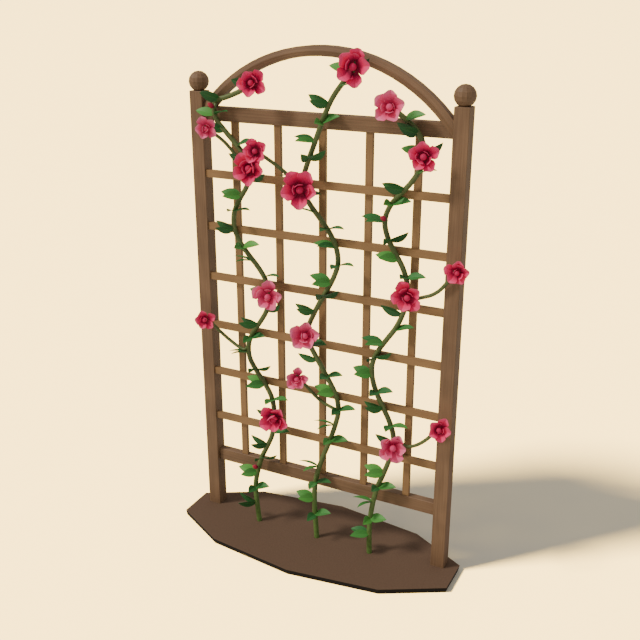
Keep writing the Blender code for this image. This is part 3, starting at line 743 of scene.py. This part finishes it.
def stem(route, radii, sides):
    """A round stem: a path given a bevelled thickness, closed at its ends and made a mesh."""
    deselect()
    bpy.ops.curve.primitive_nurbs_path_add(location=(0.0, 0.0, 0.0))
    item = bpy.context.object
    path = item.data
    path.splines.clear()
    line = path.splines.new("POLY")
    line.points.add(len(route) - 1)
    for point, spot, radius in zip(line.points, route, radii):
        point.co = (*spot, 1.0)
        point.radius = radius
    path.bevel_depth = 1.0
    path.bevel_resolution = (sides - 4) // 2
    path.use_fill_caps = True
    bpy.ops.object.convert(target="MESH")
    bpy.ops.object.mode_set(mode="EDIT")
    bpy.ops.mesh.select_all(action="SELECT")
    bpy.ops.mesh.remove_doubles(threshold=1e-6)
    finish_shell(ROUND_CREASE)
    return item


def frame_of(forward, up, origin):
    """A matrix whose X points forward and whose Z is close to up."""
    across = up.cross(forward).normalized()
    top = forward.cross(across).normalized()
    turn = Matrix((forward, across, top)).transposed().to_4x4()
    return Matrix.Translation(origin) @ turn


def on_seat(seat, axis):
    """The matrix that sets a bloom or bud on its stalk, its Z along the axis."""
    return (Matrix.Translation(seat + axis * GAP)
            @ axis.to_track_quat("Z", "Y").to_matrix().to_4x4())


def settle(piece, node):
    """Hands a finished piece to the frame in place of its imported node."""
    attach(piece, "root")
    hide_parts(node)


# Settings that a user would change

def colour_setting(name, description, code):
    """A colour to change, with its default as an sRGB hex code."""
    return FloatVectorProperty(name=name, description=description, default=linear(code),
                               subtype="COLOR", min=0, max=1)


class TimberSettings(bpy.types.PropertyGroup):
    """Colours of the trellis and the soil"""
    frame_light: colour_setting("Frame light", "Stain on the posts, rails and arch", "#886A50")
    frame_dark: colour_setting("Frame grain", "Grain lines in the frame", "#735840")
    slat_light: colour_setting("Slat light", "Stain on the lattice slats", "#9C7852")
    slat_dark: colour_setting("Slat grain", "Grain lines in the slats", "#917049")
    soil_top: colour_setting("Soil", "Top of the soil bed", "#6A5444")
    soil_crumb: colour_setting("Soil crumbs", "Hollows between the crumbs", "#5F4A3B")
    # The soil side colour is painted shade, nearly black, not a colour of the soil
    soil_side_shade: colour_setting("Soil side", "Side of the soil bed, painted dark as shade", "#1E1612")


class RoseSettings(bpy.types.PropertyGroup):
    """Sizes and colours of the rose"""
    leaf_length: FloatProperty(name="Leaflet length", description="Length of a full leaflet",
                               default=0.074, min=0.03, max=0.12, unit="LENGTH")
    leaf_width: FloatProperty(name="Leaflet width", description="Width of a full leaflet",
                              default=0.036, min=0.01, max=0.06, unit="LENGTH")
    cane_foot: colour_setting("Cane foot", "Bark near the soil", "#5E7F40")
    cane_upper: colour_setting("Cane", "Bark of the canes", "#5F6E40")
    # The dark and bright leaf colours carry painted shade and light on leaflets turned down or to
    # the front, and partly random tone, not the leaves' age
    leaf_dark: colour_setting("Dark leaf", "Darkest leaves", "#26552F")
    leaf_middle: colour_setting("Leaf", "Most leaves", "#35793F")
    leaf_bright: colour_setting("Bright leaf", "Brightest leaves", "#62AE4C")
    deep_petal: colour_setting("Deep petal", "Body of the deep pink petals", "#FF347A")
    light_petal: colour_setting("Light petal", "Body of the light pink petals", "#FF669C")
    red_petal: colour_setting("Red petal", "Body of the red pink petals", "#FF3C7A")


class StageSettings(bpy.types.PropertyGroup):
    """Floor and light"""
    paper: colour_setting("Paper", "Floor and background", "#F3EDDA")
    paper_light: FloatProperty(name="Paper light", description="Strength of the paper's own sun",
                               default=27.0, min=0.0, max=60.0)
    sun_strength: FloatProperty(name="Key light", description="Strength of the soft key light",
                                default=2.2, min=0.0, max=10.0)
    fill_strength: FloatProperty(name="Fill light", description="Strength of the light all round",
                                 default=0.50, min=0.0, max=5.0)


# Operators

class ROSE_OT_frame_timber(bpy.types.Operator):
    """Stain the posts, rails, arch and turned balls"""
    bl_idname = "rose.frame_timber"
    bl_label = "Frame timber"

    def execute(self, context):
        colours = context.scene.rose_timber
        for names, direction in ((("post_left", "post_right", "finial_left", "finial_right"), "z"),
                                 (("bottom_rail", "top_rail"), "x"), (("arch",), "arc")):
            material = timber(f"stained pine, grain along {direction}", colours.frame_light,
                              colours.frame_dark, direction)
            for name in names:
                finish_node(name, material)
        return {"FINISHED"}


class ROSE_OT_lattice(bpy.types.Operator):
    """Stain the level and upright slats"""
    bl_idname = "rose.lattice"
    bl_label = "Lattice slats"

    def execute(self, context):
        colours = context.scene.rose_timber
        for kind, direction in (("level", "x"), ("upright", "z")):
            material = timber(f"pale pine slat, {kind}", colours.slat_light,
                              colours.slat_dark, direction)
            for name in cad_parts:
                if name.startswith(f"slat_{kind}"):
                    finish_node(name, material)
        return {"FINISHED"}


class ROSE_OT_soil(bpy.types.Operator):
    """Finish the soil bed"""
    bl_idname = "rose.soil"
    bl_label = "Soil bed"

    def execute(self, context):
        colours = context.scene.rose_timber
        finish_node("soil_bed", loam(colours.soil_top, colours.soil_crumb, colours.soil_side_shade))
        return {"FINISHED"}


class ROSE_OT_canes(bpy.types.Operator):
    """Grow the three canes with their shoots and leaves"""
    bl_idname = "rose.canes"
    bl_label = "Canes and leaves"

    def execute(self, context):
        rose = context.scene.rose_plant
        plan = plan_roses()
        bark = green_bark(rose.cane_foot, rose.cane_upper)
        skin = leaf_skin(rose)
        leaflet = model_leaflet(rose.leaf_length, rose.leaf_width)
        chance = random.Random(TONE_SEED)
        for side, route in plan["routes"].items():
            stems = [cane_stem(route)]
            stems += [stalk_stem(line) for owner, line in plan["stalks"] if owner == side]
            wood = join("stems", stems)
            blades = join("blades", [grow_leaf(leaflet, *leaf, chance)
                                     for owner, *leaf in plan["leaves"] if owner == side])
            wood.data.materials.append(bark)
            blades.data.materials.append(skin)
            whole = join(f"leafy_cane_{side}", [wood, blades])
            settle(whole, f"cane_{side}")
        bpy.data.objects.remove(leaflet)
        return {"FINISHED"}


def cane_stem(route):
    """The shown cane. It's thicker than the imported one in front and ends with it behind."""
    line = []
    radii = []
    for spot in [route[0]] + smooth_route(route[1:], CANE_FINE_STEP):
        height = spot.z - SOIL_TOP
        radius = taper(height, SHOWN_TIP_RADIUS)
        radii.append(radius)
        line.append(spot + Vector((0.0, taper(height, PACKED_TIP_RADIUS) - radius, 0.0)))
    return stem(line, radii, SHOWN_SIDES)


def stalk_stem(line):
    """A side shoot or stalk, which thins out to its bloom or bud."""
    line = smooth_route(line, STALK_FINE_STEP)
    radii = [min(STALK_RADIUS, STALK_END_RADIUS + STALK_THINNING * back)
             for back in reversed(range(len(line)))]
    return stem(line, radii, STALK_SIDES)


def grow_leaf(leaflet, root, heading, upper, stretch, share, letter, chance):
    """Sets one leaflet at its joint, in front of the lattice, with its tone of green: painted
    shade when it is turned down, painted light when it is turned to the front, plus a random
    stray.
    """
    turn = frame_of(heading, upper, root)
    blade = copy_of(leaflet, turn @ Matrix.Diagonal((stretch, share, share, 1.0)))
    rear = max(vertex.co.y for vertex in blade.data.vertices)
    limit = place(0, LEAF_REAR, 0).y
    if rear > limit:
        blade.data.transform(Matrix.Translation((0, limit - rear, 0)))
    tone = min(max(LEAF_SHADE_BY_ROLL[letter] + chance.uniform(*TONE_STRAY), 0.0), 1.0)
    layer = blade.data.attributes.new("tone", "FLOAT", "POINT")
    layer.data.foreach_set("value", [tone] * len(blade.data.vertices))
    return blade


class ROSE_OT_blooms(bpy.types.Operator):
    """Open the seventeen blooms"""
    bl_idname = "rose.blooms"
    bl_label = "Blooms"

    def execute(self, context):
        rose = context.scene.rose_plant
        skins = {}
        for kind, (throat, rim) in PETAL_ENDS.items():
            skins[kind] = petal_skin(f"{kind} pink rose petal", linear(throat),
                                     getattr(rose, f"{kind}_petal"), linear(rim))
        outer = model_petal("outer petal", OUTER_PETAL)
        inner = model_petal("inner petal", INNER_PETAL)
        middle = model_heart()
        calyx = model_calyx()
        green = leaf_skin(rose)
        chance = random.Random(PETAL_SEED)
        for number, seat, axis, radius, kind, spin in plan_roses()["blooms"]:
            turn = (on_seat(seat, axis) @ Matrix.Rotation(spin, 4, "Z")
                    @ Matrix.Scale(radius * BLOOM_SHOWN_SIZE, 4))
            pieces = [copy_of(middle, turn)]
            for petal, (count, shift, stray) in ((outer, OUTER_RING), (inner, INNER_RING)):
                for index in range(count):
                    round_axis = (math.tau * (index + shift) / count
                                  + chance.uniform(-stray, stray))
                    lean = math.radians(chance.uniform(*PETAL_LEAN)
                                        * (1 + PETAL_LEAN_GAIN * stray))
                    size = chance.uniform(PETAL_LARGEST - stray, PETAL_LARGEST)
                    pieces.append(copy_of(petal, turn @ Matrix.Rotation(round_axis, 4, "Z")
                                          @ Matrix.Rotation(lean, 4, "Y") @ Matrix.Scale(size, 4)))
            petals = join("petals", pieces)
            petals.data.materials.append(skins[kind])
            cup = copy_of(calyx, turn)
            cup.data.materials.append(green)
            bloom = join(f"open_bloom_{number:02d}", [petals, cup])
            settle(bloom, f"bloom_{number:02d}")
        for item in (outer, inner, middle, calyx):
            bpy.data.objects.remove(item)
        return {"FINISHED"}


def model_heart():
    """The closed heart of a bloom of radius one: a cut ball drawn down into a foot."""
    deselect()
    bpy.ops.mesh.primitive_ico_sphere_add(subdivisions=2, radius=HEART_OUT,
                                          location=(0.0, 0.0, 0.0))
    heart = named("heart")
    bpy.ops.object.mode_set(mode="EDIT")
    bpy.ops.mesh.select_all(action="SELECT")
    cut = HEART_OUT * HEART_CUT
    bpy.ops.mesh.bisect(plane_co=(0.0, 0.0, -cut), plane_no=(0.0, 0.0, 1.0), clear_inner=True,
                        use_fill=True)
    pick(lambda spot: near(spot.z, -cut))
    bpy.ops.mesh.extrude_region_move(TRANSFORM_OT_translate={
        "value": (0.0, 0.0, cut + HEART_FOOT - HEART_MIDDLE)})
    bpy.ops.mesh.select_all(action="SELECT")
    bpy.ops.transform.translate(value=(0.0, 0.0, HEART_MIDDLE))
    finish_shell(HEART_CREASE)
    # Darker low down and lighter on top: partly painted shade deep in the bloom
    mark(heart.data, "rim", lambda spot: HEART_TONE
         + HEART_TONE_GAIN * max(0.0, spot.z - HEART_MIDDLE) / HEART_OUT)
    return heart


def model_calyx():
    """The green cup under a bloom of radius one, with five pointed sepals."""
    deselect()
    bpy.ops.mesh.primitive_cone_add(vertices=2 * SEPALS, radius1=CALYX_FOOT, radius2=CALYX_OUT,
                                    depth=CALYX_HEIGHT, location=(0.0, 0.0, 0.0))
    calyx = named("calyx")
    bpy.ops.object.mode_set(mode="EDIT")
    pick(lambda spot: spot.z > 0 and math.cos(SEPALS * math.atan2(spot.x, spot.y)) > 0.5)
    bpy.ops.transform.resize(value=(SEPAL_REACH, SEPAL_REACH, 1.0),
                             center_override=(0.0, 0.0, 0.0))
    bpy.ops.mesh.select_all(action="SELECT")
    bpy.ops.transform.translate(value=(0.0, 0.0, CALYX_HEIGHT / 2))
    bpy.ops.object.mode_set(mode="OBJECT")
    mark(calyx.data, "tone", lambda spot: CALYX_GREEN)
    return calyx


class ROSE_OT_buds(bpy.types.Operator):
    """Set the three closed buds"""
    bl_idname = "rose.buds"
    bl_label = "Buds"

    def execute(self, context):
        rose = context.scene.rose_plant
        skin = petal_skin("rosebud petal", *[linear(code) for code in BUD_COLOURS])
        sepal_skin = leaf_skin(rose)
        bud = model_bud()
        for number, seat in plan_roses()["buds"]:
            piece = copy_of(bud, on_seat(seat, BUD_AXIS))
            piece.name = f"rosebud_{number}"
            piece.data.materials.clear()
            piece.data.materials.append(skin)
            piece.data.materials.append(sepal_skin)
            settle(piece, f"bud_{number}")
        bpy.data.objects.remove(bud)
        return {"FINISHED"}


def model_bud():
    """A closed bud: a lathed drop with its petals' edge turned round it and a green cup."""
    deselect()
    bpy.ops.mesh.primitive_circle_add(vertices=BUD_SIDES, radius=BUD_RADIUS * BUD_ROWS[0][0],
                                      fill_type="NGON")
    bud = named("bud")
    bpy.ops.object.mode_set(mode="EDIT")
    bpy.ops.mesh.select_all(action="SELECT")
    for (last_out, last_height), (out, height) in zip(BUD_ROWS, BUD_ROWS[1:]):
        bpy.ops.mesh.extrude_region_move(TRANSFORM_OT_translate={
            "value": (0.0, 0.0, (height - last_height) * BUD_LENGTH)})
        middle = (0.0, 0.0, height * BUD_LENGTH)
        bpy.ops.transform.resize(value=(out / last_out, out / last_out, 1.0),
                                 center_override=middle)
        bpy.ops.transform.rotate(value=math.radians(BUD_TWIST), orient_axis="Z",
                                 center_override=middle)
    finish_shell(ROUND_CREASE)
    mark(bud.data, "rim", lambda spot: BUD_TONE + BUD_TONE_GAIN * spot.z / BUD_LENGTH)
    mark(bud.data, "tone", lambda spot: BUD_GREEN)
    bud.data.materials.append(None)
    bud.data.materials.append(None)
    for face in bud.data.polygons:
        face.material_index = 1 if face.center.z < BUD_LENGTH * BUD_CUP else 0
    return bud


class ROSE_OT_stage(bpy.types.Operator):
    """Lay the paper sweep and set the soft lights and the camera"""
    bl_idname = "rose.stage"
    bl_label = "Stage"

    def execute(self, context):
        stage = context.scene.rose_stage
        deselect()
        bpy.ops.mesh.primitive_grid_add(x_subdivisions=FLOOR_CELLS, y_subdivisions=FLOOR_CELLS,
                                        size=FLOOR_SIZE, location=(0.0, 0.0, -FLOOR_DROP))
        floor = named("paper_floor")
        bpy.ops.object.transform_apply()
        floor.data.materials.append(paper_sweep(stage.paper, PAPER_BOUNCE))
        set_lights(stage, floor)
        set_camera()
        return {"FINISHED"}


def sun(name, strength, colour):
    """A soft distant light from the upper left front."""
    bpy.ops.object.light_add(type="SUN", location=LAMP_PLACE)
    lamp = named(name)
    lamp.data.energy = strength
    lamp.data.angle = math.radians(KEY_SPREAD)
    lamp.data.color = colour
    lamp.rotation_euler = facing(KEY_TURN, KEY_HEIGHT).to_track_quat("Z", "Y").to_euler()
    return lamp


def set_lights(stage, floor):
    """A soft key light, one like it that only the paper takes, and light all round."""
    key = sun("key_light", stage.sun_strength, linear(KEY_COLOUR))
    paper_only = sun("paper_light", stage.paper_light, PAPER_LIGHT)
    takers = bpy.data.collections.new("paper only")
    takers.objects.link(floor)
    paper_only.light_linking.receiver_collection = takers
    left_out = bpy.data.collections.new("left out by the key light")
    left_out.objects.link(floor)
    left_out.objects.link(hang_net())
    for member in left_out.collection_objects:
        member.light_linking.link_state = "EXCLUDE"
    key.light_linking.receiver_collection = left_out
    key.light_linking.blocker_collection = left_out
    world = bpy.data.worlds.new("soft white room")
    bpy.context.scene.world = world
    world.use_nodes = True
    sky = world.node_tree.nodes["Background"]
    sky.inputs["Color"].default_value = (*linear(ROOM_COLOUR), 1.0)
    sky.inputs["Strength"].default_value = stage.fill_strength


def hang_net():
    """A net as large as the lattice, in its plane. It holds back the paper's own light and
    nothing else, so that the shadow on the floor is as dense as in the photograph."""
    deselect()
    bpy.ops.mesh.primitive_plane_add(size=1.0, location=(0.0, 0.0, 0.0))
    net = named("shadow_net")
    bpy.ops.transform.resize(value=(NET_WIDTH, NET_HEIGHT, 1.0))
    bpy.ops.transform.rotate(value=math.radians(90), orient_axis="X",
                             center_override=(0.0, 0.0, 0.0))
    bpy.ops.transform.translate(value=(0.0, POST_MIDDLE, NET_HEIGHT / 2 + SOIL_TOP))
    bpy.ops.object.transform_apply()
    cloth = new_material("black scrim net", 1.0)
    cloth.node_tree.nodes["Principled BSDF"].inputs["Alpha"].default_value = NET_DENSITY
    net.data.materials.append(cloth)
    for rays in ("camera", "diffuse", "glossy", "transmission"):
        setattr(net, f"visible_{rays}", False)
    return net


def set_camera():
    """The camera that took the photograph."""
    bpy.ops.object.camera_add(location=CAMERA_PLACE)
    camera = named("photo_camera")
    back = facing(CAMERA_AZIMUTH, CAMERA_DOWN)
    camera.rotation_euler = back.to_track_quat("Z", "Y").to_euler()
    camera.data.lens = CAMERA_LENS
    camera.data.sensor_width = CAMERA_SENSOR
    camera.data.clip_end = CAMERA_REACH
    bpy.context.scene.camera = camera


class ROSE_PT_panel(bpy.types.Panel):
    """Settings and steps of the rose scene"""
    bl_idname = "ROSE_PT_panel"
    bl_label = "Climbing rose"
    bl_space_type = "VIEW_3D"
    bl_region_type = "UI"
    bl_category = "Rose"

    def draw(self, context):
        for group in (context.scene.rose_timber, context.scene.rose_plant,
                      context.scene.rose_stage):
            for name in group.__annotations__:
                self.layout.prop(group, name)
        for operator in OPERATORS:
            self.layout.operator(operator.bl_idname)


OPERATORS = (ROSE_OT_frame_timber, ROSE_OT_lattice, ROSE_OT_soil, ROSE_OT_canes, ROSE_OT_blooms,
             ROSE_OT_buds, ROSE_OT_stage)
CLASSES = (TimberSettings, RoseSettings, StageSettings, *OPERATORS, ROSE_PT_panel)


def register():
    for item in CLASSES:
        bpy.utils.register_class(item)
    bpy.types.Scene.rose_timber = PointerProperty(type=TimberSettings)
    bpy.types.Scene.rose_plant = PointerProperty(type=RoseSettings)
    bpy.types.Scene.rose_stage = PointerProperty(type=StageSettings)


def unregister():
    for name in ("rose_timber", "rose_plant", "rose_stage"):
        delattr(bpy.types.Scene, name)
    for item in reversed(CLASSES):
        bpy.utils.unregister_class(item)


def main():
    register()
    bpy.ops.rose.frame_timber()
    bpy.ops.rose.lattice()
    bpy.ops.rose.soil()
    bpy.ops.rose.canes()
    bpy.ops.rose.blooms()
    bpy.ops.rose.buds()
    bpy.ops.rose.stage()


if __name__ == "__main__":
    main()
